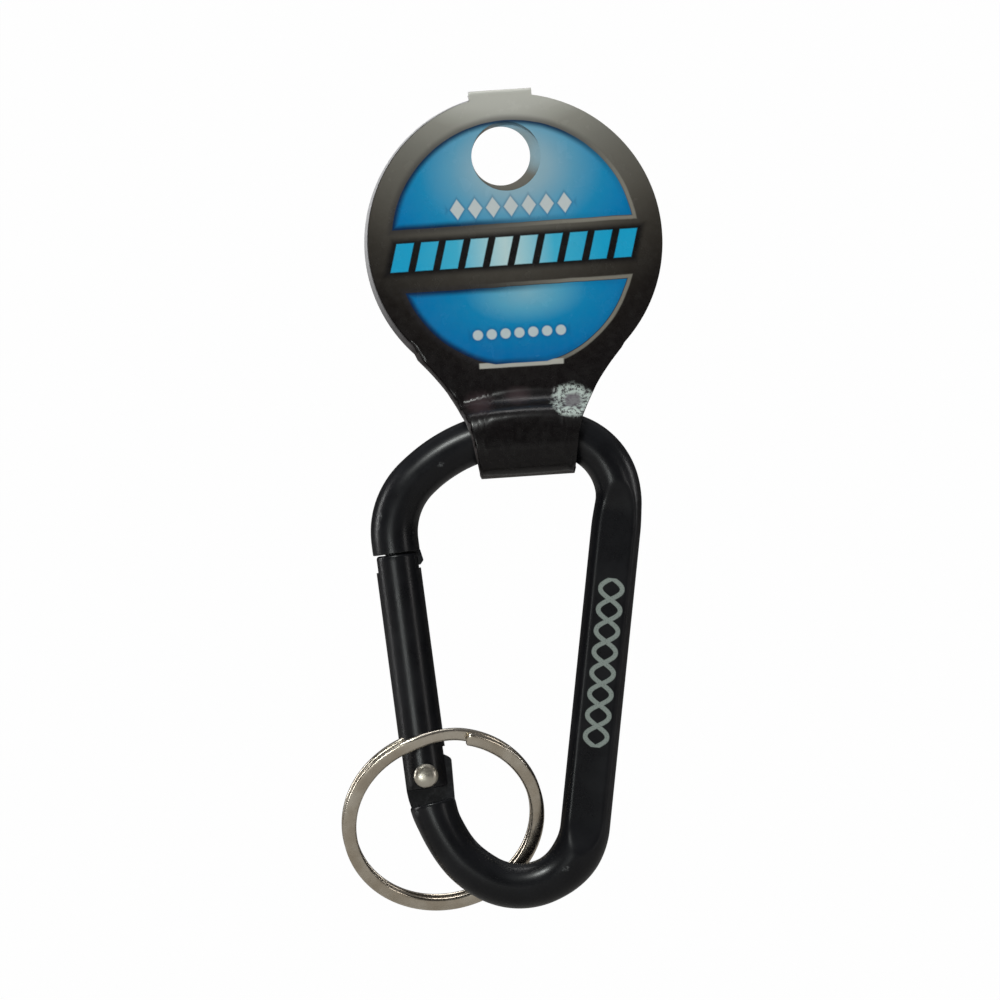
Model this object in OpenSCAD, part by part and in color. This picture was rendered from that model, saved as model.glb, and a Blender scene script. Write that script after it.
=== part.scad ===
// Carabiner keyring: a small accessory snap hook of round aluminium rod with a
// sprung gate, a split key ring on its lower bend, and a folded plastic hang tag
// whose strap goes round the hook's top bar. Millimetres, +Z up, the front of
// the tag faces -Y, origin at the centre of the hang hole.

/* [Hook rod] */
// Diameter of the rod the frame is bent from
rod_d = 5.8; // [5.6:0.1:5.9]
// Width of the spine where it is pressed flat
spine_w = 6.1; // [5.9:0.1:6.3]
// Thickness of the spine across the pressed flats
spine_t = 4.2; // [3.6:0.1:5.0]
// Lean of the gate side from vertical, degrees
gate_tilt = 7.6; // [7.4:0.1:7.8]

/* [Gate] */
// Diameter of the gate bar
gate_d = 5.5; // [5.3:0.1:5.6]
// Distance from the hinge pivot up to the gate's tip
gate_len = 27.25; // [27.0:0.05:27.3]
// Width of the slots in the gate's fork and tip
slot_w = 2.4; // [2.36:0.02:2.6]
// Diameter of the spring bore in the gate
bore_d = 3.2; // [3.2:0.1:3.3]
// Depth of the spring bore, measured from the pivot
bore_top = 14; // [12:0.5:18]

/* [Hinge] */
// Thickness of the hinge tongue and of the nose blade
tongue_t = 2.2; // [2.0:0.05:2.2]
// Diameter of the rivet's shank
rivet_d = 1.9; // [1.8:0.05:1.95]
// Diameter of the rivet bore in the fork and the tongue
rivet_bore_d = 2.0; // [2.0:0.02:2.04]
// Diameter of the rivet's domed heads
rivet_head_d = 3.0; // [2.8:0.1:3.2]
// Height of the rivet's domed heads
rivet_head_h = 0.75; // [0.6:0.05:0.8]
// Height of the tongue's flat under the spring plunger
cam_h = 2.6; // [2.55:0.05:2.65]
// Offset of the plunger's line of push from the pivot
cam_e = 1.2; // [1.1:0.05:1.2]

/* [Spring] */
// Wire diameter of the gate spring
spring_wire = 0.4; // [0.3:0.05:0.45]
// Turns of the gate spring
spring_turns = 7; // [5:1:8]

/* [Split ring] */
// Outer diameter of the split ring
ring_od = 25; // [24.8:0.1:25.2]
// Radial width of the ring's wire
ring_w = 1.7; // [1.6:0.05:1.8]
// Thickness of the two turns together
ring_h = 1.9; // [1.8:0.05:2.0]

/* [Hang tag] */
// Radius of the tag's round leaves
tag_r = 18.3; // [18.0:0.1:18.5]
// Thickness of the plastic sheet
sheet_t = 0.35; // [0.3:0.05:0.35]
// Radius of the hang hole in the front leaf
front_hole_r = 4.25; // [4.25:0.05:4.4]
// Radius of the hang hole in the back leaf, which the peg runs in
back_hole_r = 3.6; // [3.4:0.05:3.6]
// Inner radius of the strap where it goes round the bar
loop_r = 3.7; // [3.68:0.02:3.8]

/* [Hidden] */
$fn = 96;

rod_r = rod_d / 2;
gate_r = gate_d / 2;
slit = 0.1; // gap left between the two folded leaves

// ---- the hook's centre line, in the X-Z plane --------------------------------
pivot = [-9.15, -76];
up = [-sin(gate_tilt), cos(gate_tilt)]; // along the gate, from the pivot to its tip
nose_z = 27.5; // end face of the frame above the pivot, along the gate
foot_z = -1.7; // where the bent rod ends and the hinge tongue starts
step_z = -3.7; // step between the tongue's flats and the full round rod

function along(d) = pivot + d * up;
// corner points of the centre line, from the nose clockwise to the hinge
corners = [along(nose_z), along(33.6), [-3.65, -33.1], [15.25, -34.8], [9.05, -95],
           along(-8.8), along(foot_z)];
bends = [0, 9.2, 19.4, 8, 8.1, 14.4, 0]; // bend radius at each corner

function unit(v) = v / norm(v);
function right_of(v) = [v[1], -v[0]];
function dir(i) = unit(corners[i + 1] - corners[i]);
function turn(i) = acos(dir(i - 1) * dir(i));
function tangent(i) = (i == 0 || i == len(corners) - 1) ? 0 : bends[i] * tan(turn(i) / 2);
function arc_start(i) = corners[i] - tangent(i) * dir(i - 1);
function arc_end(i) = corners[i] + tangent(i) * dir(i);
function arc_centre(i) = arc_start(i) + bends[i] * right_of(dir(i - 1));
function heading(v) = atan2(v[1], v[0]);

// local frame of the gate: Z along the gate from the pivot, X to the inner side
module at_hinge() translate([pivot[0], 0, pivot[1]]) rotate([0, -gate_tilt, 0]) children();

// straight stretch from a to b, let a little way into the bends at both ends
seat = 0.3;
module rod(a, b)
    translate([a[0], 0, a[1]])
        rotate([0, 90 - heading(b - a), 0])
            translate([0, 0, -seat]) cylinder(h = norm(b - a) + 2 * seat, r = rod_r - 0.02);

// the straight end that carries the nose blade, cut square
module nose_rod() at_hinge() translate([0, 0, nose_z])
    cylinder(h = norm(arc_start(1) - corners[0]) + seat, r = rod_r - 0.02);

// bent rod at corner i
module bend(i) {
    c = arc_centre(i);
    start = heading(arc_start(i) - c);
    translate([c[0], 0, c[1]]) rotate([90, 0, 0]) rotate([0, 0, start - turn(i)])
        rotate_extrude(angle = turn(i)) translate([bends[i], 0]) circle(r = rod_r);
}

// ---- spine: straight, pressed flat on both faces -----------------------------
spine_a = arc_end(3);
spine_b = arc_start(4);
spine_l = norm(spine_b - spine_a);
swell = 2.5; // length over which the rod widens to the pressed width

module spine() on_spine() rotate([0, 90, 0]) {
    a = rod_r - 0.02;
    b = spine_w / 2;
    rotate_extrude() polygon([[0, -seat], [a, -seat], [a, 0], [b, swell],
        [b, spine_l - swell], [a, spine_l], [a, spine_l + seat], [0, spine_l + seat]]);
}

// what the press takes off one face: flat along the spine, with rounded run-outs
module press_cut() {
    l = spine_l - 2;
    r = 9;
    linear_extrude(10, center = true) {
        polygon([[0, 0], [l, 0], [l, 6], [0, 6]]);
        intersection() {
            translate([0, r]) circle(r = r);
            translate([-5, 0]) square([5, 6]);
        }
        intersection() {
            translate([l, r]) circle(r = r);
            translate([l, 0]) square([5, 6]);
        }
    }
}

module on_spine() translate([spine_a[0], 0, spine_a[1]]) rotate([0, -heading(dir(3)), 0]) children();

// ---- hinge tongue ------------------------------------------------------------
// the cam's flank is the involute of a circle of radius cam_e, so the plunger
// rises in proportion to the gate's angle
function cam(t) = let (l = cam_h + cam_e * t * PI / 180)
    [cam_e * cos(t) + l * sin(t), -cam_e * sin(t) + l * cos(t)];
stop_z = 3.25; // top of the closing stop on the tongue's outer side
fork_z = 3.3;  // bottom of the fork's slot

module tongue() {
    difference() {
        rotate([90, 0, 0]) linear_extrude(tongue_t, center = true) polygon(concat(
            [[-2.6, foot_z - 1], [-2.6, stop_z], [-1.8, stop_z], [-1.8, cam_h]],
            [for (t = [0:2:38]) cam(t)],
            [[2.95, foot_z + 0.5], [2.6, foot_z], [2.6, foot_z - 1]]));
        rotate([90, 0, 0]) cylinder(h = 6, r = rivet_bore_d / 2, center = true);
    }
}

// ---- frame -------------------------------------------------------------------
module carabiner_frame() color([0.06, 0.06, 0.07]) {
    difference() {
        union() {
            nose_rod();
            for (i = [1, 2, 4, 5]) rod(arc_end(i), arc_start(i + 1));
            for (i = [1:5]) bend(i);
            spine();
        }
        // pressed flats, front and back
        on_spine() for (s = [0, 1]) mirror([0, s, 0])
            translate([1, spine_t / 2, 0]) press_cut();
        // flats that leave the rod as a tongue below the hinge
        at_hinge() for (s = [-1, 1])
            translate([0, s * (tongue_t / 2 + 2.5), step_z + 3]) cube([14, 5, 6], center = true);
    }
    at_hinge() {
        tongue();
        // nose blade that the closed gate's tip straddles
        translate([0, 0, nose_z]) rotate([90, 0, 0])
            linear_extrude(tongue_t - 0.2, center = true)
                polygon([[-1.4, 0.6], [-1.4, -1.5], [-1.1, -1.75], [2.75, -1.75], [3.25, -1.25], [3.0, 0], [2.6, 0.6]]);
    }
}

// ---- gate --------------------------------------------------------------------
module gate() color([0.07, 0.07, 0.08]) at_hinge() {
    tip = gate_len;
    foot = -1.6;
    difference() {
        rotate_extrude() polygon([[0, foot], [gate_r - 0.3, foot], [gate_r, foot + 0.3],
            [gate_r, tip - 0.35], [gate_r - 0.35, tip], [0, tip]]);
        // spring bore, drilled from the foot
        translate([0, 0, foot - 1]) cylinder(h = bore_top - foot + 1, r = bore_d / 2);
        // fork slot over the hinge tongue
        translate([0, 0, (fork_z + foot - 1) / 2])
            cube([8, slot_w, fork_z - foot + 1], center = true);
        // tip slot over the nose blade
        translate([0, 0, nose_z - 2.1 + 2]) cube([8, slot_w - 0.2, 4], center = true);
        // rivet bore
        rotate([90, 0, 0]) cylinder(h = 8, r = rivet_bore_d / 2, center = true);
    }
}

module hinge_rivet() color([0.85, 0.84, 0.8]) at_hinge() {
    a = rivet_head_d / 2;
    face = gate_r + 0.02;
    dome = (a * a + rivet_head_h * rivet_head_h) / (2 * rivet_head_h);
    rotate([90, 0, 0]) {
        cylinder(h = 2 * face, r = rivet_d / 2, center = true);
        for (s = [0, 1]) mirror([0, 0, s]) translate([0, 0, face]) intersection() {
            translate([0, 0, rivet_head_h - dome]) sphere(r = dome);
            cylinder(h = 2, r = a);
        }
    }
}

// ---- spring and plunger ------------------------------------------------------
plunger_r = bore_d / 2 - 0.05;
seat_z = cam_h + 1.6;
module spring_plunger() color([0.75, 0.73, 0.68]) at_hinge() {
    translate([0, 0, cam_h]) rotate_extrude() polygon([[0, 0.02], [plunger_r - 0.15, 0.02],
        [plunger_r, 0.17], [plunger_r, 1.6], [0.6, 1.6], [0.6, 3.4], [0.4, 3.6], [0, 3.6]]);
}

// round wire coil about Z, from z0 to z1
module coil(r, wire, turns, z0, z1) {
    n = 16;
    m = 8;
    steps = turns * n;
    rise = (z1 - z0 - wire) / steps;
    rings = [for (i = [0:steps]) let (a = i * 360 / n)
        [for (k = [0:m - 1]) let (b = k * 360 / m, q = r + wire / 2 * cos(b))
            [q * cos(a), q * sin(a), z0 + wire / 2 + i * rise + wire / 2 * sin(b)]]];
    points = [for (ring = rings) for (p = ring) p];
    faces = concat([[for (k = [0:m - 1]) k]],
        [for (i = [0:steps - 1]) for (k = [0:m - 1]) let (a = i * m + k, b = i * m + (k + 1) % m)
            [a, a + m, b + m, b]],
        [[for (k = [m - 1:-1:0]) steps * m + k]]);
    polyhedron(points, faces);
}
module gate_spring() color([0.8, 0.8, 0.8]) at_hinge()
    coil(bore_d / 2 - 0.1 - spring_wire / 2 - 0.05, spring_wire, spring_turns, seat_z + 0.02, bore_top - 0.02);

// ---- split ring --------------------------------------------------------------
ring_c = [-7.08, 0, -81.35];
ring_n = [0.145, -0.876, -0.461]; // normal of the ring's plane as it lies
ring_swing = acos(abs(ring_n[1]) / norm(ring_n));
ring_mid = ring_od / 2 - ring_w / 2;
ring_seam = 0.04; // gap between the two turns
ramp_a = 96; // direction of the middle of the crossover, from the ring's X axis
ramp_w = 37; // angle that the crossover takes up

// section of the wire, flattened and with soft corners
module wire_section(w, h, c) translate([ring_mid, 0]) polygon([[-w / 2 + c, -h / 2],
    [w / 2 - c, -h / 2], [w / 2, -h / 2 + c], [w / 2, h / 2 - c], [w / 2 - c, h / 2],
    [-w / 2 + c, h / 2], [-w / 2, h / 2 - c], [-w / 2, -h / 2 + c]]);

module split_ring() color([0.8, 0.76, 0.72]) {
    h = (ring_h - ring_seam) / 2;
    // axis of the lie: the line of the ring's plane that stays in the hook's plane
    tip_axis = unit([-ring_n[2], 0, ring_n[0]]);
    spin = atan2(tip_axis[2], tip_axis[0]);
    // the crossover climbs from the front turn to the back one
    lift = atan2(h + ring_seam, 2 * ring_mid * sin(ramp_w / 2));
    translate(ring_c) rotate([0, -spin, 0]) rotate([90 + ring_swing, 0, 0]) rotate([0, 0, -spin]) {
        for (s = [-1, 1])
            translate([0, 0, s * (h + ring_seam) / 2])
                rotate([0, 0, ramp_a + ramp_w / 2])
                    rotate_extrude(angle = 360 - ramp_w) wire_section(ring_w, h, 0.25);
        // crossover
        rotate([0, 0, ramp_a]) rotate([lift, 0, 0])
            rotate([0, 0, -ramp_w / 2 - 1]) rotate_extrude(angle = ramp_w + 2)
                wire_section(ring_w - 0.08, h - 0.1, 0.2);
    }
}

// ---- hang tag ----------------------------------------------------------------
disc_c = [1.55, -10.63];
tag_lean = 3.87;
bar_v = -23.84;  // height of the hook's bar in the tag's own frame
part_v = -19.6;  // where the two leaves part to go round the bar
loop_low = 0.81; // extra depth of the strap's loop below the bar
fold_v = 18.45;  // centre of the fold over the top

module in_tag() translate([disc_c[0], 0, disc_c[1]]) rotate([0, -tag_lean, 0]) children();

// outline of the strap and neck: half widths at heights, from the disc down
neck = [[8, -10], [12.75, -13.4], [11.0, -15.4], [9.4, -17.5], [8.3, -19.4], [7.2, -21.5], [6.7, -23.2], [5.6, -29]];

// point of the neck's edge at height v
function neck_at(v) = [lookup(-v, [for (p = neck) [-p[1], p[0]]]), v];
module neck_outline(side) polygon(concat([for (p = side) [p[0] - 0.1, p[1]]],
    [for (i = [len(side) - 1:-1:0]) [-side[i][0] - 0.15, side[i][1]]]));

// one leaf of the folded sheet, sheet_t thick towards -Y from the plane y = 0
module leaf(hole, hole_r) rotate([90, 0, 0]) difference() {
    union() {
        cylinder(h = sheet_t, r = tag_r, $fn = 180);
        linear_extrude(sheet_t) neck_outline([for (p = neck) if (p[1] > part_v) p, neck_at(part_v)]);
        translate([-0.44 - 3.87, 10, 0]) cube([7.74, fold_v - 10, sheet_t]);
    }
    translate([hole[0], hole[1], -1]) cylinder(h = sheet_t + 2, r = hole_r);
}

module tag_front_leaf() color([0.25, 0.45, 0.65]) in_tag()
    translate([0, -slit / 2, 0]) leaf([-0.18, 10.67], front_hole_r);

module tag_back_leaf() color([0.35, 0.33, 0.32]) in_tag() {
    translate([0, slit / 2 + sheet_t, 0]) leaf([-0.83, 10.71], back_hole_r);
    // fold over the top, down to the front leaf
    translate([-0.44, 0, fold_v]) rotate([90, 0, 90]) linear_extrude(7.74, center = true)
        difference() {
            circle(r = slit / 2 + sheet_t);
            circle(r = slit / 2);
            translate([-2, -4]) square([4, 4]);
        }
    // heat-weld spots that close the slit between the leaves above the bar
    for (p = [[-5.3, -18.9], [-0.7, -18.4], [5.3, -18.9]])
        translate([p[0], slit / 2, p[1]]) rotate([90, 0, 0]) cylinder(h = slit, r = 1.2);
}

// teardrop in the Y-Z section: a circle of radius r on the bar, deepened below
// by loop_low, and its two tangents up to half width a at the height part_v
module drop(r, a) {
    d = [a, part_v - bar_v];
    l = norm(d);
    b = heading(d) - acos(r / l);
    t = r * [cos(b), sin(b)];
    translate([0, bar_v]) {
        circle(r = r);
        translate([0, -loop_low]) circle(r = r);
        translate([-r, -loop_low]) square([2 * r, loop_low]);
        polygon([[0, 0], t, d, [-d[0], d[1]], [-t[0], t[1]]]);
    }
}

module tag_strap_loop() color([0.14, 0.13, 0.13]) in_tag() intersection() {
    rotate([90, 0, 90]) linear_extrude(24, center = true) difference() {
        drop(loop_r + sheet_t, slit / 2 + sheet_t);
        drop(loop_r, slit / 2);
    }
    rotate([90, 0, 0]) linear_extrude(12, center = true) neck_outline(neck);
}

carabiner_frame();
gate();
hinge_rivet();
gate_spring();
spring_plunger();
split_ring();
tag_front_leaf();
tag_back_leaf();
tag_strap_loop();
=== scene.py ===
import math

import bmesh
import bpy
import numpy as np
from mathutils import Matrix, Vector, noise


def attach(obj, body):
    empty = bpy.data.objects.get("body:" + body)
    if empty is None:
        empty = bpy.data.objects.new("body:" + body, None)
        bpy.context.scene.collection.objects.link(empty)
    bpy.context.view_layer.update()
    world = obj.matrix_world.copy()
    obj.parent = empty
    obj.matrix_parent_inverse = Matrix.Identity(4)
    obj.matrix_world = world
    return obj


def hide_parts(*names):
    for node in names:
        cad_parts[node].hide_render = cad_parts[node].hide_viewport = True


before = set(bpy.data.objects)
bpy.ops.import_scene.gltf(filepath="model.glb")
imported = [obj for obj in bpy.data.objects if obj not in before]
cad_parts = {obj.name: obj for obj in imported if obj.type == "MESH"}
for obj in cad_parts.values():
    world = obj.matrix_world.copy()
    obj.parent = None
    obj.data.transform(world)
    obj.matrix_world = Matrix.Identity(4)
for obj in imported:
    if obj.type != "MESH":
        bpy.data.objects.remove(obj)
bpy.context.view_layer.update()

MM = 0.001

# ============================================================== mesh helpers


def make_object(name, verts_mm, faces, sharp=40):
    """A smooth-shaded mesh object from points in mm, with edges over the angle kept sharp."""
    mesh = bpy.data.meshes.new(name)
    mesh.from_pydata([tuple(float(x) * MM for x in v) for v in verts_mm], [], faces)
    mesh.validate()
    obj = bpy.data.objects.new(name, mesh)
    bpy.context.scene.collection.objects.link(obj)
    tidy(obj, sharp)
    return obj


def tidy(obj, sharp=40):
    bm = bmesh.new()
    bm.from_mesh(obj.data)
    bmesh.ops.recalc_face_normals(bm, faces=bm.faces)
    bm.to_mesh(obj.data)
    bm.free()
    obj.data.polygons.foreach_set("use_smooth", [True] * len(obj.data.polygons))
    obj.data.set_sharp_from_angle(angle=math.radians(sharp))


def apply_modifiers(obj, sharp=40):
    """Writes the modifiers into the mesh, so that what is shown is plain geometry."""
    bpy.context.view_layer.update()
    dg = bpy.context.evaluated_depsgraph_get()
    mesh = bpy.data.meshes.new_from_object(obj.evaluated_get(dg))
    obj.modifiers.clear()
    old = obj.data
    obj.data = mesh
    bpy.data.meshes.remove(old)
    mesh.polygons.foreach_set("use_smooth", [True] * len(mesh.polygons))
    mesh.set_sharp_from_angle(angle=math.radians(sharp))
    return obj


def cut(obj, cutters):
    for c in cutters:
        m = obj.modifiers.new("cut", "BOOLEAN")
        m.operation, m.solver, m.object = "DIFFERENCE", "EXACT", c
    apply_modifiers(obj)
    for c in cutters:
        bpy.data.objects.remove(c)
    return obj


def round_edges(obj, width_mm, segments=3, angle=35):
    m = obj.modifiers.new("edge", "BEVEL")
    m.width, m.segments, m.limit_method = width_mm * MM, segments, "ANGLE"
    m.angle_limit, m.use_clamp_overlap = math.radians(angle), True
    m.miter_outer = "MITER_ARC"
    return apply_modifiers(obj, 22)


def join(name, objs, sharp=22):
    """One object from several closed shells."""
    bm = bmesh.new()
    for o in objs:
        bm.from_mesh(o.data)
    mesh = bpy.data.meshes.new(name)
    bm.to_mesh(mesh)
    bm.free()
    obj = bpy.data.objects.new(name, mesh)
    bpy.context.scene.collection.objects.link(obj)
    for o in objs:
        bpy.data.objects.remove(o)
    mesh.polygons.foreach_set("use_smooth", [True] * len(mesh.polygons))
    mesh.set_sharp_from_angle(angle=math.radians(sharp))
    return obj


def tube(rings, close=False):
    """Faces over a list of rings of equal count, capped at both ends unless closed."""
    n = len(rings[0])
    verts = [p for r in rings for p in r]
    faces = []
    for i in range(len(rings) - (0 if close else 1)):
        a, b = i * n, ((i + 1) % len(rings)) * n
        faces += [(a + k, a + (k + 1) % n, b + (k + 1) % n, b + k) for k in range(n)]
    if not close:
        for base, ring in ((0, rings[0]), ((len(rings) - 1) * n, rings[-1])):
            c = np.mean(np.array(ring), axis=0)
            verts.append(c)
            faces += [(base + k, base + (k + 1) % n, len(verts) - 1) for k in range(n)]
    return verts, faces


def revolve(profile, place, n=96):
    """A solid of revolution: profile is (radius, height) pairs that start and end on the axis, place turns local mm into row mm."""
    rings = [
        [
            place((r * math.cos(t), r * math.sin(t), h))
            for t in np.linspace(0, 2 * math.pi, n, endpoint=False)
        ]
        for r, h in profile[1:-1]
    ]
    verts, faces = tube(rings)
    verts[-2] = place((0, 0, profile[0][1]))
    verts[-1] = place((0, 0, profile[-1][1]))
    return verts, faces


def prism(points, half, place):
    """A prism of that outline in local X-Z, half thick to each side of y = 0."""
    n = len(points)
    verts = [place((x, -half, z)) for x, z in points] + [
        place((x, half, z)) for x, z in points
    ]
    faces = [tuple(range(n)), tuple(range(2 * n - 1, n - 1, -1))]
    faces += [(k, (k + 1) % n, n + (k + 1) % n, n + k) for k in range(n)]
    return verts, faces


def smooth01(t):
    t = min(max(t, 0.0), 1.0)
    return t * t * (3 - 2 * t)


# ============================================================== node helpers


class Tree:
    """Short names for the nodes of one material."""

    def __init__(self, name):
        self.mat = bpy.data.materials.new(name)
        self.mat.use_nodes = True
        self.t = self.mat.node_tree
        self.b = self.t.nodes["Principled BSDF"]

    def node(self, kind, **props):
        n = self.t.nodes.new("ShaderNode" + kind)
        for k, v in props.items():
            setattr(n, k, v)
        return n

    def put(self, socket, value):
        if isinstance(value, bpy.types.NodeSocket):
            self.t.links.new(value, socket)
        else:
            socket.default_value = value

    def m(self, op, a, b=0.0, clamp=False):
        n = self.node("Math", operation=op, use_clamp=clamp)
        self.put(n.inputs[0], a)
        self.put(n.inputs[1], b)
        return n.outputs[0]

    def add(self, a, b):
        return self.m("ADD", a, b)

    def sub(self, a, b):
        return self.m("SUBTRACT", a, b)

    def mul(self, a, b):
        return self.m("MULTIPLY", a, b)

    def mx(self, a, b):
        return self.m("MAXIMUM", a, b)

    def mn(self, a, b):
        return self.m("MINIMUM", a, b)

    def ab(self, a):
        return self.m("ABSOLUTE", a)

    def length(self, a, b):
        return self.m("SQRT", self.add(self.mul(a, a), self.mul(b, b)))

    def step(self, x, lo, hi, out0=0.0, out1=1.0):
        """Smooth step of x from lo to hi, for lo under or over hi."""
        n = self.node("MapRange", interpolation_type="SMOOTHSTEP")
        if lo > hi:
            lo, hi, out0, out1 = hi, lo, out1, out0
        self.put(n.inputs[0], x)
        for k, v in zip((1, 2, 3, 4), (lo, hi, out0, out1)):
            n.inputs[k].default_value = v
        return n.outputs[0]

    def ramp(self, x, lo, hi, a, b):
        n = self.node("MapRange")
        self.put(n.inputs[0], x)
        for k, v in zip((1, 2, 3, 4), (lo, hi, a, b)):
            n.inputs[k].default_value = v
        return n.outputs[0]

    def mix(self, fac, a, b):
        n = self.node("Mix", data_type="RGBA")
        self.put(n.inputs[0], fac)
        self.put(n.inputs[6], a)
        self.put(n.inputs[7], b)
        return n.outputs[2]

    def colours(self, x, lo, hi, stops):
        """A colour that runs through stops [(x, sRGB 0-255 triple)]."""
        n = self.node("ValToRGB")
        self.put(n.inputs[0], self.ramp(x, lo, hi, 0.0, 1.0))
        e = n.color_ramp.elements
        while len(e) > 1:
            e.remove(e[-1])
        for i, (p, c) in enumerate(stops):
            k = e[0] if i == 0 else e.new((p - lo) / (hi - lo))
            k.position = (p - lo) / (hi - lo)
            k.color = srgb(c)
        return n.outputs[0]

    def noise(self, co, scale, detail=4.0, rough=0.55, stretch=None):
        if stretch:
            mp = self.node("Mapping")
            self.put(mp.inputs[0], co)
            mp.inputs["Scale"].default_value = stretch
            co = mp.outputs[0]
        n = self.node("TexNoise")
        self.put(n.inputs["Vector"], co)
        n.inputs["Scale"].default_value = scale
        n.inputs["Detail"].default_value = detail
        n.inputs["Roughness"].default_value = rough
        return n.outputs[0]

    def bump(self, height, distance_mm, strength=1.0, normal=None):
        n = self.node("Bump")
        self.put(n.inputs["Height"], height)
        n.inputs["Distance"].default_value = distance_mm * MM
        n.inputs["Strength"].default_value = strength
        if normal is not None:
            self.put(n.inputs["Normal"], normal)
        return n.outputs[0]

    def dot(self, v, w):
        n = self.node("VectorMath", operation="DOT_PRODUCT")
        self.put(n.inputs[0], v)
        n.inputs[1].default_value = w
        return n.outputs["Value"]

    def object_co(self):
        return self.node("TexCoord").outputs["Object"]

    def mm(self, co):
        n = self.node("VectorMath", operation="SCALE")
        self.put(n.inputs[0], co)
        n.inputs["Scale"].default_value = 1000.0
        return n.outputs[0]

    def pointiness(self):
        return self.node("NewGeometry").outputs["Pointiness"]


def srgb(c):
    lin = [
        (x / 255 / 12.92) if x <= 10 else (((x / 255) + 0.055) / 1.055) ** 2.4
        for x in c
    ]
    return (*lin, 1.0)


# ============================================================== the hook's path

PIVOT, UP = np.array((-9.15, -76.0)), np.array((-0.132256, 0.991216))


def along(d):
    return PIVOT + d * UP


CORNERS = [
    along(27.5),
    along(33.6),
    np.array((-3.65, -33.1)),
    np.array((15.25, -34.8)),
    np.array((9.05, -95.0)),
    along(-8.8),
    along(-1.7),
]
BENDS = [0, 9.2, 19.4, 8, 8.1, 14.4, 0]


def right_of(d):
    return np.array((d[1], -d[0]))


def hook_path():
    """Points and directions every 0.35 mm or so, and how far along each bend starts and ends."""
    pts, dirs, marks = [CORNERS[0]], [], {}
    dirs.append(UP.copy())

    def line_to(p, step=0.35):
        a = pts[-1]
        l = np.linalg.norm(p - a)
        n = max(1, int(round(l / step)))
        d = (p - a) / max(l, 1e-9)
        for k in range(1, n + 1):
            pts.append(a + (p - a) * k / n)
            dirs.append(d)

    for i in range(1, len(CORNERS) - 1):
        d0 = CORNERS[i] - CORNERS[i - 1]
        d0 = d0 / np.linalg.norm(d0)
        d1 = CORNERS[i + 1] - CORNERS[i]
        d1 = d1 / np.linalg.norm(d1)
        turn = math.acos(float(d0 @ d1))
        tan = BENDS[i] * math.tan(turn / 2)
        line_to(CORNERS[i] - tan * d0)
        marks[f"a{i}"] = len(pts) - 1
        centre = pts[-1] + BENDS[i] * right_of(d0)
        n = max(6, int(BENDS[i] * turn / 0.3))
        start = pts[-1] - centre
        for k in range(1, n + 1):
            t = -turn * k / n
            c, s = math.cos(t), math.sin(t)
            v = np.array((start[0] * c - start[1] * s, start[0] * s + start[1] * c))
            pts.append(centre + v)
            dirs.append(np.array((d0[0] * c - d0[1] * s, d0[0] * s + d0[1] * c)))
        marks[f"b{i}"] = len(pts) - 1
    pts, dirs = np.array(pts), np.array(dirs)
    s = np.concatenate(([0], np.cumsum(np.linalg.norm(np.diff(pts, axis=0), axis=1))))
    return pts, dirs, s, {k: s[v] for k, v in marks.items()}


PTS, DIRS, S, MARK = hook_path()
# the rod stops at the step below the tongue, 3.7 mm under the hinge
hinge_z = (PTS - PIVOT) @ UP
stop = max(i for i in range(len(S)) if S[i] < MARK["b5"] - 6) + int(
    np.argmax(hinge_z[max(i for i in range(len(S)) if S[i] < MARK["b5"] - 6):] > -3.72)
)
PTS, DIRS, S = PTS[: stop + 1], DIRS[: stop + 1], S[: stop + 1]
S_END = S[-1]


for _i in range(len(S)):
    # the bend leaves the hinge a little further in than one arc would
    PTS[_i] += right_of(DIRS[_i]) * 0.24 * smooth01((S[_i] - S_END + 9.0) / 5.5)


def width_at(s):
    """Half width of the rod in the hook's plane, and half thickness before pressing."""
    spine0, spine1 = MARK["b3"], MARK["a4"]
    w = 2.90 - 0.13 * smooth01((s - 3) / 9)
    swell = smooth01((s - spine0 + 2.5) / 5.5) * (1 - smooth01((s - spine1 - 3) / -5.5 * -1))
    w += 0.28 * swell
    w -= 0.08 * smooth01((s - MARK["a5"]) / 6)
    w += 0.14 * smooth01((s - S_END + 3.0) / 2.6)
    b = 2.88 + 0.17 * swell
    return w, b


def press_at(s):
    """How far the pressed faces stand from the mid plane, as the run-outs leave them."""
    lo, hi = MARK["b3"] + 1, MARK["a4"] - 1
    d = max(lo - s, s - hi, 0)
    return 2.1 + (9 - math.sqrt(81 - d * d)) if d < 6 else 4.0


def soft_clamp(y, c, k=0.34):
    a = abs(y)
    h = max(k - abs(a - c), 0) / k
    return math.copysign(min(a, c) - h * h * k / 4, y)


def rod_ring(i, shrink=0.0, shift=0.0, n=96):
    s = S[i]
    w, b = width_at(s)
    w, b, c = w - shrink, b - shrink, press_at(s)
    d, r = DIRS[i], right_of(DIRS[i])
    ring = []
    for k in range(n):
        t = 2 * math.pi * k / n
        x = w * math.cos(t)
        y = soft_clamp(b * math.sin(t), c) if c < 3.4 else b * math.sin(t)
        p = PTS[i] + r * x + d * shift
        ring.append((p[0], y, p[1]))
    return ring


def at_hinge(p):
    """The gate's own frame, in mm, to the row frame in mm: local Z up the gate, X inwards."""
    x, y, z = p
    inward = np.array((UP[1], -UP[0]))
    q = PIVOT + inward * x + UP * z
    return (q[0], y, q[1])


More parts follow.
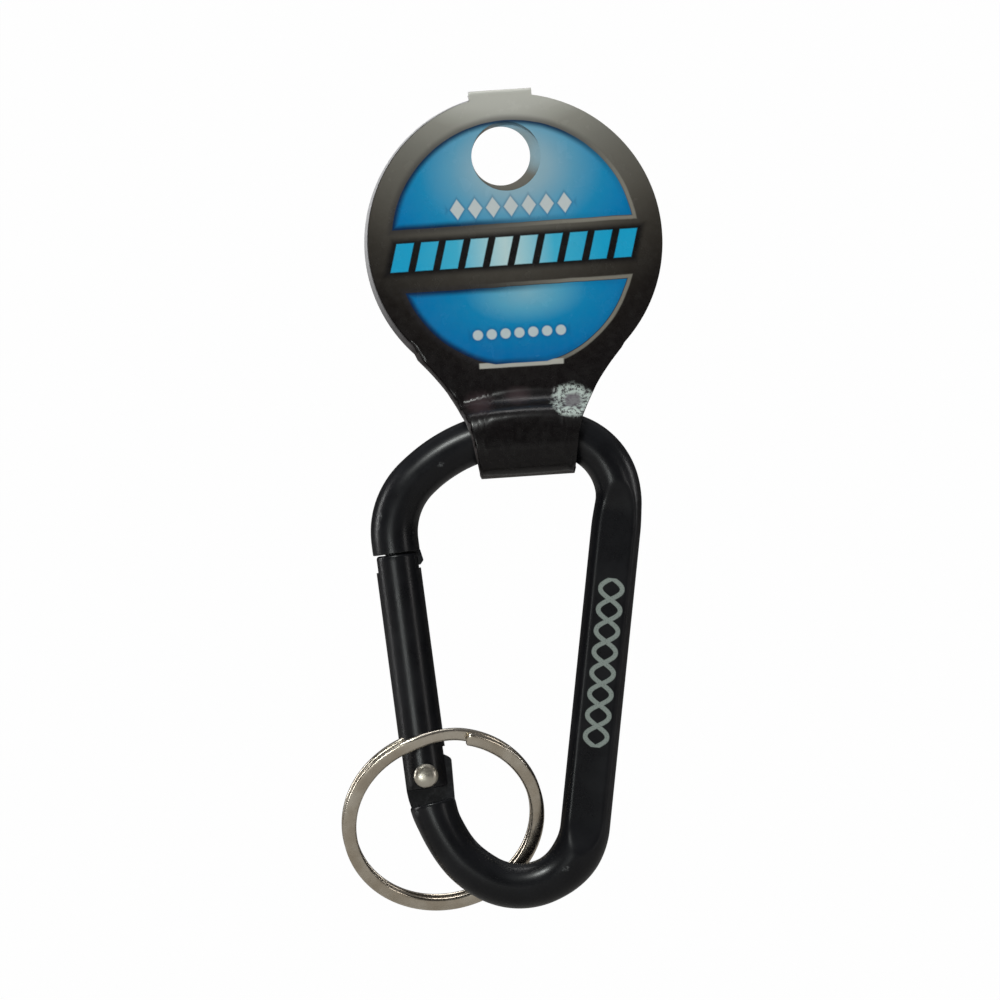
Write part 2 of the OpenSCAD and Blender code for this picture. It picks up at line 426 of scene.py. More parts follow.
def build_hook():
    last = len(S) - 1
    keep = [i for i in range(len(S)) if 0.45 < S[i] < S[-1] - 0.45]
    rings = []
    for shift, shrink in ((0, 0.18), (0.02, 0.10), (0.06, 0.04), (0.12, 0.01), (0.40, 0)):
        rings.append(rod_ring(0, shrink, shift))
    rings += [rod_ring(i) for i in keep]
    for shift, shrink in ((-0.40, 0), (-0.20, 0.02), (-0.10, 0.07), (-0.03, 0.16), (0, 0.28)):
        rings.append(rod_ring(last, shrink, shift))
    verts, faces = tube(rings)
    rod = make_object("rod", verts, faces)

    # nose: the flat blade that drops into the gate's slot
    nose = 27.5
    blade = [(-1.4, 1.2), (-1.4, -1.5), (-1.1, -1.75), (2.75, -1.75), (3.18, -1.25), (2.95, 0), (2.55, 1.2)]
    verts, faces = prism([(x, nose + z) for x, z in blade], 1.0, at_hinge)
    blade = round_edges(make_object("blade", verts, faces, 20), 0.12)

    # hinge tongue with its involute flank, which pushes the plunger up as the gate opens
    flank = []
    for deg in range(0, 39, 2):
        t = math.radians(deg)
        l = 2.6 + 1.2 * t
        flank.append((1.2 * math.cos(t) + l * math.sin(t), -1.2 * math.sin(t) + l * math.cos(t)))
    tongue = (
        [(-1.9, -4.9), (-2.32, -3.7), (-2.52, -2.7), (-2.62, -1.7), (-2.62, 3.25), (-1.8, 3.25), (-1.8, 2.6)]
        + flank[:-1]
        + [(3.22, 1.78), (3.34, 1.5), (3.22, -1.2), (3.14, -2.9), (3.1, -3.7), (3.1, -4.9)]
    )
    verts, faces = prism(tongue, 1.1, at_hinge)
    tongue = make_object("tongue", verts, faces, 20)
    bore = [(0, -2), (1.0, -2), (1.0, 2), (0, 2)]
    v, f = revolve(bore, lambda p: at_hinge((p[0], p[2], p[1])), 48)
    cut(tongue, [make_object("bore", v, f)])
    round_edges(tongue, 0.12, 2)
    return join("hook_frame", [rod, blade, tongue])


def build_gate():
    prof = [(0, -1.6), (2.35, -1.6), (2.55, -1.56), (2.69, -1.45), (2.75, -1.25)]
    prof += [(2.75, z) for z in np.linspace(-0.9, 26.6, 28)]
    prof += [(2.75, 27.0), (2.735, 27.12), (2.69, 27.23), (2.61, 27.32), (2.50, 27.38), (0, 27.38)]
    v, f = revolve(prof, at_hinge, 96)
    gate = make_object("gate_body", v, f)
    cutters = []
    for x, w, z0, z1 in ((4, 1.2, -4, 3.3), (4, 1.1, 25.4, 30)):
        v, f = prism([(-x, z0), (x, z0), (x, z1), (-x, z1)], w, at_hinge)
        cutters.append(make_object("slot", v, f))
    v, f = revolve([(0, 1.0), (1.6, 1.0), (1.6, 13.6), (1.4, 14.0), (0, 14.4)], at_hinge, 48)
    cutters.append(make_object("well", v, f))
    v, f = revolve([(0, -5), (1.0, -5), (1.0, 5), (0, 5)], lambda p: at_hinge((p[0], p[2], p[1])), 48)
    cutters.append(make_object("pin_bore", v, f))
    cut(gate, cutters)
    return round_edges(gate, 0.13, 3, 38)


def build_rivet():
    half = [(0.95, 0.0), (0.95, 2.2), (1.42, 2.24), (1.5, 2.36), (1.5, 2.82)]
    for a in np.linspace(8, 84, 12):
        t = math.radians(a)
        half.append((1.5 * math.cos(t) ** 0.9, 2.82 + 0.66 * math.sin(t)))
    top = half[-1][1]
    half += [(0.12, top + 0.006)]
    down = [(r, -h) for r, h in reversed(half)]
    prof = [(0, down[0][1])] + down + half[1:] + [(0, half[-1][1])]
    v, f = revolve(prof, lambda p: at_hinge((p[0], p[2], p[1])), 64)
    return make_object("rivet", v, f)


# ============================================================== split ring

RING_C, SPIN, SWING = np.array((-7.08, 0.0, -81.35)), math.radians(17.46), math.radians(28.9)


def ring_place():
    return (
        Matrix.Rotation(-SPIN, 4, "Y")
        @ Matrix.Rotation(math.radians(90) + SWING, 4, "X")
        @ Matrix.Rotation(-SPIN, 4, "Z")
    )


def build_ring():
    """Two turns of flattened wire with a single crossover strand between the wire's two ends."""
    rot = ring_place()
    mid, lift = 11.65, 0.485
    start, turn, ramp = 114.5, 323.0, 37.0
    total = 2 * turn + ramp
    stations = np.linspace(0, total, 620)
    rings = []
    n = 28
    for k, a in enumerate(stations):
        phi = math.radians(start + a)
        t = (a - turn) / ramp
        z = lift * (2 * smooth01(t) - 1)
        # the two ends stand a little proud where the coil has been prised open
        spread = 0.05 * (math.exp(-a / 16) + math.exp(-(total - a) / 16))
        z += math.copysign(spread, z)
        in_ramp = smooth01(1 - abs(t - 0.5) * 1.1) if -0.5 < t < 1.5 else 0
        hw, hh = 0.85 - 0.03 * in_ramp, 0.455 - 0.02 * in_ramp
        end = min(a, total - a) * math.pi / 180 * mid
        if end < 0.25:
            e = math.sqrt(max(0.0, 1 - (1 - end / 0.25) ** 2))
            hw, hh = hw - 0.2 * (1 - e), hh - 0.2 * (1 - e)
        ring = []
        for j in range(n):
            b = 2 * math.pi * j / n
            c, s = math.cos(b), math.sin(b)
            x = hw * math.copysign(abs(c) ** 0.82, c)
            y = hh * math.copysign(abs(s) ** 0.82, s)
            p = rot @ Vector(((mid + x) * math.cos(phi), (mid + x) * math.sin(phi), z + y))
            ring.append((p.x + RING_C[0], p.y + RING_C[1], p.z + RING_C[2]))
        rings.append(ring)
    v, f = tube(rings)
    return make_object("key_ring", v, f, 45)


# ============================================================== hang tag

DISC, LEAN = np.array((1.55, -10.63)), math.radians(3.87)
T, HALF = 0.35, 0.225
BAR_V, PART_V, LOOP_R, LOW, FOLD_V = -23.84, -19.6, 3.7, 0.81, 18.45
NECK = [(12.75, -13.4), (11.0, -15.4), (9.4, -17.5), (8.3, -19.4), (7.2, -21.5), (6.7, -23.2), (5.6, -29)]


def in_tag(u, y, v):
    c, s = math.cos(LEAN), math.sin(LEAN)
    return (DISC[0] + u * c - v * s, y, DISC[1] + u * s + v * c)


def strap_line():
    """The sheet's middle line from the flat leaf, out and round the bar, to the lowest point: (y, v) by distance."""
    rm = LOOP_R + T / 2
    d = np.array((HALF, PART_V - BAR_V))
    l = np.linalg.norm(d)
    b = math.atan2(d[1], d[0]) - math.acos(rm / l)
    pts = [np.array((HALF, v)) for v in np.linspace(PART_V + 2.4, PART_V, 40)]
    t = np.array((rm * math.cos(b), BAR_V + rm * math.sin(b)))
    pts += [pts[-1] + (t - pts[-1]) * k for k in np.linspace(0, 1, 30)[1:]]
    pts += [np.array((rm * math.cos(a), BAR_V + rm * math.sin(a))) for a in np.linspace(b, 0, 60)[1:]]
    pts += [np.array((rm, BAR_V - LOW * k)) for k in np.linspace(0, 1, 12)[1:]]
    pts += [np.array((rm * math.cos(a), BAR_V - LOW + rm * math.sin(a))) for a in np.linspace(0, -math.pi / 2, 90)[1:]]
    pts = np.array(pts)
    s = np.concatenate(([0], np.cumsum(np.linalg.norm(np.diff(pts, axis=0), axis=1))))
    g = np.linspace(0, s[-1], 400)
    line = np.stack([np.interp(g, s, pts[:, 0]), np.interp(g, s, pts[:, 1])], 1)
    # soften the crease where the leaf leaves the flat
    out = line.copy()
    step = g[1]
    for i in range(len(g)):
        w = np.exp(-(((g - g[i]) / 0.80) ** 2))
        if step * 4 < g[i] < 6.5:
            out[i] = (line * w[:, None]).sum(0) / w.sum()
    out[:, 0] = np.maximum(out[:, 0], HALF)
    s = np.concatenate(([0], np.cumsum(np.linalg.norm(np.diff(out, axis=0), axis=1))))
    return s, out


STRAP_S, STRAP = strap_line()
V0 = PART_V + 2.4
W_LOW, W_TOP = V0 - STRAP_S[-1], FOLD_V + HALF * math.pi / 2


def fold_map(w):
    """Height v and half gap y of the sheet's middle at distance w along it."""
    if w > FOLD_V:
        t = min((w - FOLD_V) / HALF, math.pi / 2)
        return HALF * math.cos(t), FOLD_V + HALF * math.sin(t)
    if w >= V0:
        return HALF, w
    s = V0 - w
    return float(np.interp(s, STRAP_S, STRAP[:, 0])), float(np.interp(s, STRAP_S, STRAP[:, 1]))


def sheet_outline():
    """The flat sheet's outline in (u, w), clockwise from the top left of the tab."""
    R = 18.3
    v_of = STRAP[:, 1]

    def w_of(v):
        if v >= V0:
            return v
        return V0 - float(np.interp(-v, -v_of, STRAP_S))

    right = [(3.43, W_TOP), (3.43, math.sqrt(R * R - 3.43**2))]
    a0 = math.atan2(right[1][1], right[1][0])
    a1 = math.atan2(-13.1, 12.75)
    right += [(R * math.cos(a), R * math.sin(a)) for a in np.linspace(a0, a1, 120)[1:]]
    edge = []
    for (w0, v0), (w1, v1) in zip(NECK[:-1], NECK[1:]):
        for k in range(10):
            f = k / 10
            edge.append((w0 + (w1 - w0) * f, v0 + (v1 - v0) * f))
    lowest = STRAP[-1, 1]
    edge = [e for e in edge if e[1] > lowest + 0.05]
    w_end = 6.7 + (5.6 - 6.7) * (-23.2 - lowest) / 5.8
    edge.append((w_end, lowest))
    e = np.array(edge)
    for _ in range(14):  # soften the corners between the neck's straight runs
        e[1:-1, 0] = 0.25 * e[:-2, 0] + 0.5 * e[1:-1, 0] + 0.25 * e[2:, 0]
    right += [(w - 0.1, w_of(v)) for w, v in e]
    left = [(-4.31, W_TOP), (-4.31, math.sqrt(R * R - 4.31**2))]
    b0 = math.atan2(left[1][1], left[1][0])
    b1 = math.atan2(-13.1, -12.95) + 2 * math.pi
    left += [(R * math.cos(a), R * math.sin(a)) for a in np.linspace(b0, b1, 120)[1:]]
    left += [(-w - 0.15, w_of(v)) for w, v in e]
    return np.array(right), np.array(left)


def leaf_ripple(u, v):
    """The sheet isn't dead flat: a slow bow and a faint ripple, the same for both leaves."""
    r = 0.16 * (u / 18.3) ** 2 - 0.10 * ((v - 2) / 18.3) ** 2
    r += 0.035 * math.sin(0.33 * u + 0.21 * v + 0.8) + 0.02 * math.sin(0.61 * v - 0.27 * u)
    return r * smooth01((v + 17.5) / 6) * smooth01((18.2 - v) / 3)


def build_tag():
    right, left = sheet_outline()
    c0 = np.array((-0.5, 10.69))
    loop = np.concatenate((right, left[::-1]))
    ang = np.unwrap(np.arctan2(loop[:, 1] - c0[1], loop[:, 0] - c0[0]))
    rad = np.linalg.norm(loop - c0, axis=1)
    ang, rad = ang[::-1], rad[::-1]
    order = np.argsort(ang)
    ang, rad = ang[order], rad[order]
    lo = ang[0]
    # rays: even all round, closer where the strap is, and one on every corner
    rays = list(np.linspace(0, 2 * math.pi, 264, endpoint=False))
    down = (math.radians(-90) - lo) % (2 * math.pi)
    rays += list(down + np.radians(np.linspace(-13, 13, 56)))
    corners = [right[0], right[1], right[-1], left[-1], left[1], left[0]]
    snap = [(math.atan2(p[1] - c0[1], p[0] - c0[0]) - lo) % (2 * math.pi) for p in corners]
    rays = sorted(r % (2 * math.pi) for r in rays if min(abs(r % (2 * math.pi) - q) for q in snap) > 0.006) + snap
    rays = np.array(sorted(rays)) + lo
    ang2 = np.concatenate((ang, [ang[0] + 2 * math.pi]))
    rad2 = np.concatenate((rad, [rad[0]]))
    reach = np.interp(rays, ang2, rad2)
    verts, faces = [], []
    nr = 78
    for side, centre, hole in ((-1, (-0.18, 10.67), 4.25), (1, (-0.83, 10.71), 3.6)):
        base = len(verts)
        for a, far in zip(rays, reach):
            d = np.array((math.cos(a), math.sin(a)))
            o = c0 - np.array(centre)
            bq = float(o @ d)
            near = -bq + math.sqrt(bq * bq - float(o @ o) + hole * hole)
            for j in range(nr + 1):
                f = j / nr
                p = c0 + d * (near + (far - near) * f)
                w = min(max(p[1], W_LOW), W_TOP)
                if j == nr and abs(w - W_LOW) < 2e-3:
                    w = W_LOW
                if j == nr and abs(w - W_TOP) < 2e-3:
                    w = W_TOP
                y, v = fold_map(w)
                arch = 1.25 * (1 - (p[0] / 7.5) ** 2) * smooth01((w - W_LOW - 7.0) / 3.0)
                if w < V0 + 1.5 and arch > 0:
                    y = fold_map(w - arch)[0]
                if w in (W_LOW, W_TOP):
                    y = 0.0
                verts.append(in_tag(p[0], side * y + leaf_ripple(p[0], v), v))
        m = len(rays)
        for i in range(m):
            for j in range(nr):
                q = (base + i * (nr + 1) + j, base + ((i + 1) % m) * (nr + 1) + j,
                     base + ((i + 1) % m) * (nr + 1) + j + 1, base + i * (nr + 1) + j + 1)
                faces.append(q if side < 0 else q[::-1])
    mesh = bpy.data.meshes.new("sheet")
    mesh.from_pydata([tuple(x * MM for x in v) for v in verts], [], faces)
    bm = bmesh.new()
    bm.from_mesh(mesh)
    bmesh.ops.remove_doubles(bm, verts=bm.verts, dist=2e-7)
    bmesh.ops.dissolve_degenerate(bm, edges=bm.edges, dist=1e-7)
    bmesh.ops.recalc_face_normals(bm, faces=bm.faces)
    bm.faces.ensure_lookup_table()
    front = [f for f in bm.faces if f.calc_center_median().z > -0.02 and f.calc_center_median().y < 0]
    if sum(f.normal.y for f in front) > 0:
        bmesh.ops.reverse_faces(bm, faces=bm.faces)
    bm.to_mesh(mesh)
    bm.free()
    obj = bpy.data.objects.new("hang_tag", mesh)
    bpy.context.scene.collection.objects.link(obj)
    m = obj.modifiers.new("thick", "SOLIDIFY")
    m.thickness, m.offset, m.use_even_offset = T * MM, 0.0, False
    m.use_rim = True
    m.material_offset, m.material_offset_rim = 1, 2
    obj.data.materials.clear()
    return obj


# ============================================================== materials


def tag_print(t, co):
    """The printed face as a colour: grey ground with a painted sheen, two blue fields with bevelled rims, and rows of
    plain ornament.
    """
    p = t.mm(co)
    u = t.sub(t.dot(p, (0.9977, 0, 0.0675)), 0.8289)
    v = t.add(t.dot(p, (-0.0675, 0, 0.9977)), 10.7102)
    y = t.dot(p, (0, 1, 0))
    back = t.step(y, -0.02, 0.02)
    grain = t.noise(co, 1400, 5.0, 0.6)
    wob = t.mul(t.sub(t.noise(co, 260, 2.0), 0.5), 0.16)
    # painted sheen: the grey ground carries a painted glare, palest at the top middle, and darkens down the sheet and
    # out to its sides
    painted_sheen_level = t.add(v, t.mul(t.sub(1.0, t.mul(t.mul(u, u), 1 / 196)), 5.0))
    ground_and_painted_sheen = t.colours(
        painted_sheen_level,
        -20,
        24,
        [(-20, (14, 11, 12)), (-12, (18, 14, 15)), (-7.5, (26, 22, 20)), (-0.9, (58, 54, 49)), (3, (80, 76, 70)),
         (10.7, (112, 109, 102)), (14.5, (128, 126, 119)), (18.4, (152, 150, 142)), (21.5, (192, 191, 184)), (24, (202, 201, 194))],
    )
    # upper field
    r1 = t.length(t.add(u, 0.02), t.sub(v, 0.18))
    top = t.mx(t.sub(r1, 14.9), t.sub(2.48, v))
    top = t.add(top, wob)
    g1 = t.length(t.mul(t.sub(u, 0.4), 1 / 9.5), t.mul(t.sub(v, 9.4), 1 / 7.6))
    blue1 = t.colours(g1, 0, 2, [(0, (176, 200, 210)), (0.45, (148, 186, 204)), (0.8, (98, 168, 202)),
                                 (1.2, (28, 146, 198)), (1.6, (0, 130, 192)), (2.0, (0, 114, 180))])
    # lower field
    r2 = t.length(u, t.add(v, 0.75))
    low = t.mx(t.mx(t.sub(r2, 14.35), t.add(v, 5.34)), t.sub(-14.75, v))
    low = t.add(low, wob)
    g2 = t.length(t.mul(t.sub(u, 1.2), 1 / 7.5), t.mul(t.add(v, 6.3), 1 / 3.8))
    blue2 = t.colours(g2, 0, 2, [(0, (132, 190, 212)), (0.5, (92, 174, 208)), (1.0, (10, 140, 196)), (2.0, (0, 118, 184))])
    colour = ground_and_painted_sheen
    # light bevel line outside the lower right edges, dark one inside the upper left ones
    lit1 = t.step(t.sub(u, t.mul(t.sub(v, 2.5), 1.3)), -9, 11)
    lit2 = t.step(u, -7, 9)
    for sd, lit in ((top, lit1), (low, lit2)):
        line = t.mul(t.step(sd, 0.02, 0.14), t.step(sd, 0.62, 0.40))
        colour = t.mix(t.mul(t.mul(line, lit), 0.75), colour, srgb((150, 146, 136)))
        shade = t.mul(t.step(sd, 0.9, 0.05), t.m("SUBTRACT", 1.0, lit))
        colour = t.mix(t.mul(shade, 0.55), colour, srgb((46, 44, 48)))
    foot = t.mul(t.step(t.ab(t.add(v, 14.86)), 0.42, 0.24), t.step(t.ab(t.sub(u, 0.0)), 5.3, 5.05))
    colour = t.mix(t.mul(foot, 0.9), colour, srgb((196, 194, 186)))
    for sd, blue, lit in ((top, blue1, lit1), (low, blue2, lit2)):
        rim = t.mul(t.step(sd, -0.85, -0.05), t.ramp(lit, 0, 1, 0.92, 0.12))
        blue = t.mix(rim, blue, srgb((4, 26, 66)))
        colour = t.mix(t.step(sd, 0.07, -0.07), colour, blue)
    # wide band of slanted bars
    bv = t.add(v, 0.95)
    bu = t.sub(u, t.mul(bv, 0.28))
    cell = t.sub(t.mul(t.m("FRACT", t.mul(t.add(bu, 15.25), 1 / 3.05)), 3.05), 1.525)
    bars = t.mx(t.mx(t.sub(t.ab(cell), 1.06), t.sub(t.ab(bv), 1.72)), t.sub(t.ab(bu), 15.25))
    glow = t.mx(t.sub(t.ab(bv), 1.72), t.sub(t.ab(bu), 15.0))
    colour = t.mix(t.mul(t.step(glow, 1.0, 0.0), 0.94), colour, srgb((10, 8, 11)))
    cyan = t.colours(t.ab(t.add(u, 1.0)), 0, 12, [(0, (196, 226, 230)), (2.5, (160, 214, 228)), (6, (70, 188, 224)), (12, (28, 172, 220))])
    colour = t.mix(t.step(bars, 0.10, -0.08), colour, cyan)
    # small row of diamonds over it, small row of dots in the lower field
    dv = t.sub(v, 4.5)
    du = t.sub(t.mul(t.m("FRACT", t.mul(t.add(u, 7.7), 1 / 2.2)), 2.2), 1.1)
    dia = t.mx(t.sub(t.add(t.mul(t.ab(du), 1 / 0.86), t.mul(t.ab(dv), 1 / 1.22)), 1.0), t.sub(t.ab(u), 7.7))
    colour = t.mix(t.mul(t.step(dia, 0.55, 0.0), 0.35), colour, srgb((10, 60, 120)))
    colour = t.mix(t.step(dia, 0.14, -0.10), colour, srgb((206, 214, 216)))
    ev = t.add(v, 11.05)
    eu = t.sub(t.mul(t.m("FRACT", t.mul(t.add(u, 5.95), 1 / 1.7)), 1.7), 0.85)
    dots = t.mx(t.sub(t.length(eu, ev), 0.62), t.sub(t.ab(u), 5.95))
    colour = t.mix(t.mul(t.step(dots, 0.5, 0.0), 0.3), colour, srgb((10, 60, 120)))
    colour = t.mix(t.step(dots, 0.10, -0.10), colour, srgb((200, 212, 216)))
    # the back face: the same grey ground with the same painted sheen, inside one thin line
    rb = t.length(u, v)
    plain = t.mix(t.mul(t.step(t.ab(t.sub(rb, 15.0)), 0.30, 0.16), 0.6), ground_and_painted_sheen, srgb((20, 120, 190)))
    colour = t.mix(back, colour, plain)
    # weld spots on the neck
    pit = t.noise(co, 2600, 6.0, 0.65)
    jag = t.mul(t.sub(t.noise(co, 1100, 4.0), 0.5), 2.2)
    spots = []
    for cu, cv, a, b in ((5.9, -19.75, 2.5, 2.05), (-5.5, -19.4, 1.9, 1.6), (-0.7, -18.75, 1.7, 1.2)):
        spots.append(t.add(t.length(t.mul(t.sub(u, cu), 1 / a), t.mul(t.sub(v, cv), 1 / b)), t.mul(jag, 0.22)))
    scuff = t.mul(t.mul(t.step(spots[0], 1.15, 0.80), t.step(pit, 0.40, 0.54)), t.step(t.noise(co, 700, 3.0), 0.36, 0.52))
    colour = t.mix(t.mul(t.step(spots[0], 1.1, 0.7), 0.5), colour, srgb((96, 92, 96)))
    colour = t.mix(t.mul(scuff, 0.85), colour, srgb((204, 216, 210)))
    core = t.step(spots[0], 0.52, 0.30)
    colour = t.mix(t.mul(core, 0.85), colour, srgb((112, 106, 112)))
    for s in spots[1:]:
        colour = t.mix(t.mul(t.step(s, 1.25, 0.2), 0.24), colour, srgb((104, 82, 86)))
    # print grain and rubbed marks
    colour = t.mix(t.step(grain, 0.30, 0.75, 0.0, 0.022), colour, srgb((150, 148, 146)))
    rub = t.noise(co, 900, 6.0, 0.7, (1.0, 1.0, 0.12))
    colour = t.mix(t.mul(t.step(rub, 0.68, 0.82), 0.06), colour, srgb((210, 210, 208)))
    return colour, scuff, spots, pit


def mat_print():
    t = Tree("printed_sheet")
    co = t.object_co()
    colour, scuff, spots, pit = tag_print(t, co)
    t.put(t.b.inputs["Base Color"], colour)
    rough = t.ramp(t.noise(co, 420, 5.0), 0.3, 0.7, 0.20, 0.30)
    t.put(t.b.inputs["Roughness"], t.add(rough, t.mul(scuff, 0.4)))
    t.b.inputs["Specular IOR Level"].default_value = 0.24
    t.b.inputs["Coat Weight"].default_value = 0.05
    t.b.inputs["Coat Roughness"].default_value = 0.12
    crater = t.sub(t.mul(scuff, 1.0), t.mul(t.step(spots[0], 0.7, 0.2), 0.8))
    for s in spots[1:]:
        crater = t.sub(crater, t.mul(t.step(s, 1.3, 0.1), 0.35))
    height = t.add(t.mul(crater, 1.0), t.mul(t.noise(co, 120, 1.5), 0.5))
    n = t.bump(height, 0.03, 0.5)
    t.put(t.b.inputs["Normal"], t.bump(pit, 0.004, 0.4, n))
    return t.mat


def mat_plain_sheet(name, tone):
    t = Tree(name)
    co = t.object_co()
    n = t.noise(co, 700, 5.0)
    p = t.mm(co)
    v = t.add(t.dot(p, (-0.0675, 0, 0.9977)), 10.7102)
    base = t.mix(t.step(v, -14, 6), srgb((52, 47, 47)), srgb(tone))
    t.put(t.b.inputs["Base Color"], t.mix(t.step(n, 0.35, 0.7, 0, 0.18), base, srgb((120, 116, 118))))
    t.put(t.b.inputs["Roughness"], t.ramp(n, 0.3, 0.7, 0.35, 0.5))
    t.put(t.b.inputs["Normal"], t.bump(t.noise(co, 2200, 5.0), 0.008, 0.5))
    return t.mat


def mat_anodised(name, engraved=False):
    t = Tree(name)
    co = t.object_co()
    broad = t.noise(co, 210, 4.0)
    fine = t.noise(co, 5200, 5.0, 0.62)
    base = t.mix(t.step(broad, 0.3, 0.7), (0.0040, 0.0042, 0.0056, 1), (0.0075, 0.0078, 0.0098, 1))
    # handling: hairlines along the rod, sparse bright nicks on proud edges
    hair = t.noise(co, 1500, 7.0, 0.72, (1.0, 1.0, 0.07))
    hairline = t.step(hair, 0.66, 0.74)
    base = t.mix(t.mul(hairline, 0.10), base, (0.06, 0.062, 0.066, 1))
    edge = t.mul(t.step(t.pointiness(), 0.525, 0.60), t.step(t.noise(co, 1800, 6.0, 0.7), 0.42, 0.62))
    base = t.mix(t.mul(edge, 0.55), base, (0.16, 0.165, 0.17, 1))
    dust = t.step(t.noise(co, 3600, 3.0, 0.5), 0.735, 0.775)
    base = t.mix(t.mul(dust, 0.06), base, (0.13, 0.13, 0.13, 1))
    rough = t.add(t.ramp(broad, 0.3, 0.7, 0.27, 0.35), t.ramp(fine, 0.3, 0.7, -0.03, 0.05))
    metal = 0.0
    height = t.add(t.mul(fine, 0.6), t.mul(hairline, -0.4))
    if engraved:
        p = t.mm(co)
        s = t.sub(t.dot(p, (-0.1024, 0, -0.9947)), -0.1024 * 12.62 + 0.9947 * 62.15)
        w = t.sub(t.dot(p, (-0.9947, 0, 0.1024)), -0.9947 * 12.62 - 0.1024 * 62.15)
        wave = t.m("SINE", t.mul(s, 2 * math.pi / 5.2))
        # two crossing strands of a rope motif, in plain outline
        slope = t.m("COSINE", t.mul(s, 2 * math.pi / 5.2))
        lean = t.m("SQRT", t.add(1.0, t.mul(t.mul(slope, slope), 2.62)))
        k1 = t.m("DIVIDE", t.ab(t.sub(w, t.mul(wave, 1.34))), lean)
        k2 = t.m("DIVIDE", t.ab(t.add(w, t.mul(wave, 1.34))), lean)
        stroke = t.sub(t.mn(k1, k2), 0.27)
        stroke = t.mx(stroke, t.sub(t.ab(s), 10.4))
        mark = t.mul(t.step(stroke, 0.07, -0.05), t.step(t.dot(p, (0, 1, 0)), -1.8, -2.0))
        speck = t.step(t.noise(co, 6200, 3.0), 0.30, 0.52)
        mark = t.mul(mark, t.ramp(speck, 0, 1, 0.62, 1.0))
        base = t.mix(mark, base, srgb((142, 152, 147)))
        rough = t.add(rough, t.mul(mark, 0.22))
        height = t.sub(height, t.mul(mark, 2.2))
    t.put(t.b.inputs["Base Color"], base)
    t.put(t.b.inputs["Roughness"], rough)
    t.b.inputs["Metallic"].default_value = metal
    t.b.inputs["Specular IOR Level"].default_value = 0.26
    t.b.inputs["Coat Weight"].default_value = 0.08
    t.b.inputs["Coat Roughness"].default_value = 0.22
    t.put(t.b.inputs["Normal"], t.bump(height, 0.004, 0.4))
    return t.mat


def mat_metal(name, dark, light, rough, scratch=(1, 1, 1)):
    t = Tree(name)
    co = t.object_co()
    broad = t.noise(co, 260, 4.0)
    fine = t.noise(co, 3800, 6.0, 0.7, scratch)
    base = t.mix(t.step(broad, 0.3, 0.7), srgb(dark), srgb(light))
    stain = t.step(t.noise(co, 620, 5.0, 0.65), 0.60, 0.78)
    base = t.mix(t.mul(stain, 0.35), base, srgb([x * 0.72 for x in dark]))
    t.put(t.b.inputs["Base Color"], base)
    t.b.inputs["Metallic"].default_value = 1.0
    t.put(t.b.inputs["Roughness"], t.add(t.ramp(fine, 0.3, 0.7, rough[0], rough[1]), t.mul(stain, 0.10)))
    t.put(t.b.inputs["Normal"], t.bump(t.add(t.mul(fine, 0.3), t.mul(broad, 2.0)), 0.004, 0.4))
    return t.mat


# ============================================================== pieces

anodised = mat_anodised("anodised_frame", True)
anodised_gate = mat_anodised("anodised_gate")
nickel = mat_metal("nickel", (198, 186, 168), (228, 220, 206), (0.17, 0.30))
bright = mat_metal("bright_rivet", (206, 200, 186), (228, 224, 214), (0.26, 0.40))
steel = mat_metal("spring_wire", (176, 176, 178), (206, 206, 208), (0.18, 0.3))

hook = build_hook()
hook.data.materials.append(anodised)
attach(hook, "hook")
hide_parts("carabiner_frame")

gate = build_gate()
gate.data.materials.clear()
gate.data.materials.append(anodised_gate)
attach(gate, "gate")
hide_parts("gate")

rivet = build_rivet()
rivet.data.materials.append(bright)
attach(rivet, "gate")
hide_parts("hinge_rivet")

ring = build_ring()
ring.data.materials.append(nickel)
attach(ring, "ring")
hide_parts("split_ring")

tag = build_tag()
for m in (mat_print(), mat_plain_sheet("sheet_inside", (214, 212, 216)), mat_plain_sheet("sheet_edge", (188, 184, 180))):
    tag.data.materials.append(m)
apply_modifiers(tag, 50)
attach(tag, "tag")
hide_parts("tag_front_leaf", "tag_back_leaf", "tag_strap_loop")

for name in ("gate_spring", "spring_plunger"):
    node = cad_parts[name]
    node.data.materials.clear()
    node.data.materials.append(steel)

# ============================================================== stage, light, camera

profile = [(0.001, -0.165), (1.2, -0.165), (1.9, -0.160), (2.5, -0.10), (2.9, 0.05), (3.15, 0.30), (3.3, 0.7), (3.4, 1.3), (3.45, 2.6)]
pr = np.array(profile)
s = np.concatenate(([0], np.cumsum(np.linalg.norm(np.diff(pr, axis=0), axis=1))))
g = np.linspace(0, s[-1], 40)
pr = np.stack([np.interp(g, s, pr[:, 0]), np.interp(g, s, pr[:, 1])], 1)
sv, sf = [], []
n = 96
for r, z in pr:
    sv += [(r * math.cos(2 * math.pi * k / n), r * math.sin(2 * math.pi * k / n), z) for k in range(n)]
for i in range(len(pr) - 1):
    sf += [(i * n + k, i * n + (k + 1) % n, (i + 1) * n + (k + 1) % n, (i + 1) * n + k) for k in range(n)]
sf.append(tuple(range(n - 1, -1, -1)))
mesh = bpy.data.meshes.new("studio_floor")
mesh.from_pydata(sv, [], sf)
mesh.polygons.foreach_set("use_smooth", [True] * len(mesh.polygons))
floor = bpy.data.objects.new("studio_floor", mesh)
bpy.context.scene.collection.objects.link(floor)
st = Tree("pale_floor")
nt = st.t
out = nt.nodes["Material Output"]
st.b.inputs["Base Color"].default_value = (0.42, 0.405, 0.39, 1)
st.b.inputs["Roughness"].default_value = 0.9
st.b.inputs["Specular IOR Level"].default_value = 0.0
glow = st.node("Emission")
glow.inputs["Color"].default_value = (1, 1, 1, 1)
glow.inputs["Strength"].default_value = 1.02
mixer = st.node("MixShader")
path = st.node("LightPath")
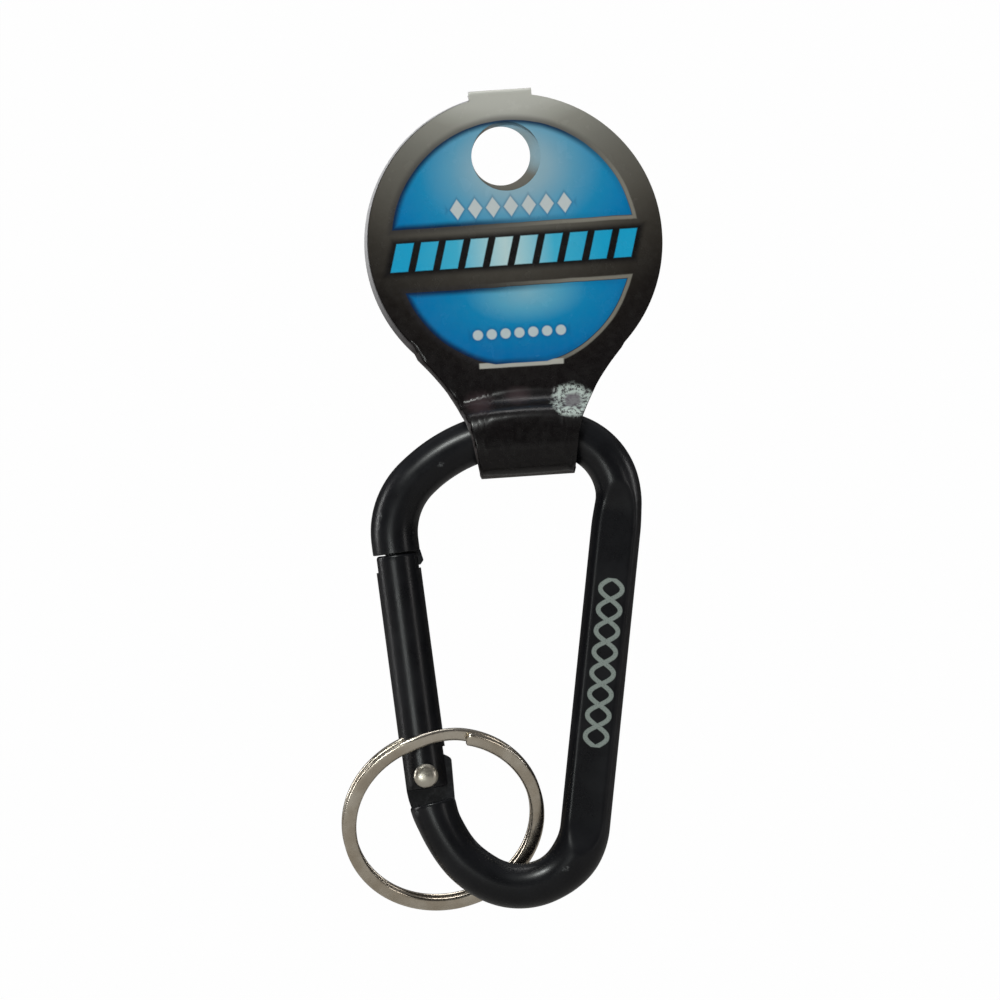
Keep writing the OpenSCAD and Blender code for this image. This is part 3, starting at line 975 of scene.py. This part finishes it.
nt.links.new(st.mul(path.outputs["Is Camera Ray"], 0.97), mixer.inputs[0])
nt.links.new(st.b.outputs[0], mixer.inputs[1])
nt.links.new(glow.outputs[0], mixer.inputs[2])
nt.links.new(mixer.outputs[0], out.inputs[0])
floor.data.materials.append(st.mat)

world = bpy.data.worlds.new("studio")
world.use_nodes = True
bpy.context.scene.world = world
world.node_tree.nodes["Background"].inputs[0].default_value = (0.95, 0.97, 1.0, 1)
world.node_tree.nodes["Background"].inputs[1].default_value = 0.20

AIM = Vector((0.0, 0.0, -0.045))


def area(name, loc, size, power, colour=(1, 1, 1)):
    data = bpy.data.lights.new(name, "AREA")
    data.shape, data.size, data.size_y = "RECTANGLE", size[0], size[1]
    data.energy, data.color = power, colour
    o = bpy.data.objects.new(name, data)
    bpy.context.scene.collection.objects.link(o)
    o.location = loc
    o.rotation_mode = "QUATERNION"
    o.rotation_quaternion = (AIM - Vector(loc)).to_track_quat("-Z", "Y")
    o.visible_camera = False
    return o


area("key", (-0.34, -0.66, 0.66), (0.24, 0.16), 5.6, (0.96, 1.0, 0.97))
area("fill", (0.80, -0.66, 0.10), (0.16, 0.30), 0.6, (1.0, 0.98, 0.96))
area("left", (-0.98, 0.10, 0.10), (0.14, 0.7), 3.2)
area("right", (0.98, 0.10, 0.20), (0.14, 0.5), 1.5)
area("top", (0.0, 0.10, 0.95), (0.5, 0.3), 3.0)
area("low", (-0.30, -0.72, -0.14), (0.24, 0.05), 0.8, (0.95, 1.0, 0.98))

cam_data = bpy.data.cameras.new("camera")
cam_data.sensor_width, cam_data.lens = 36.0, 36.0 * 2.0 / 0.1227
cam_data.clip_start, cam_data.clip_end = 0.01, 20
cam = bpy.data.objects.new("camera", cam_data)
bpy.context.scene.collection.objects.link(cam)
cam.location = (-0.00009, -2.0, -0.0422)
cam.rotation_euler = (math.radians(90), 0, 0)
bpy.context.scene.camera = cam
bpy.context.scene.view_settings.view_transform = "Standard"
bpy.context.scene.view_settings.look = "None"
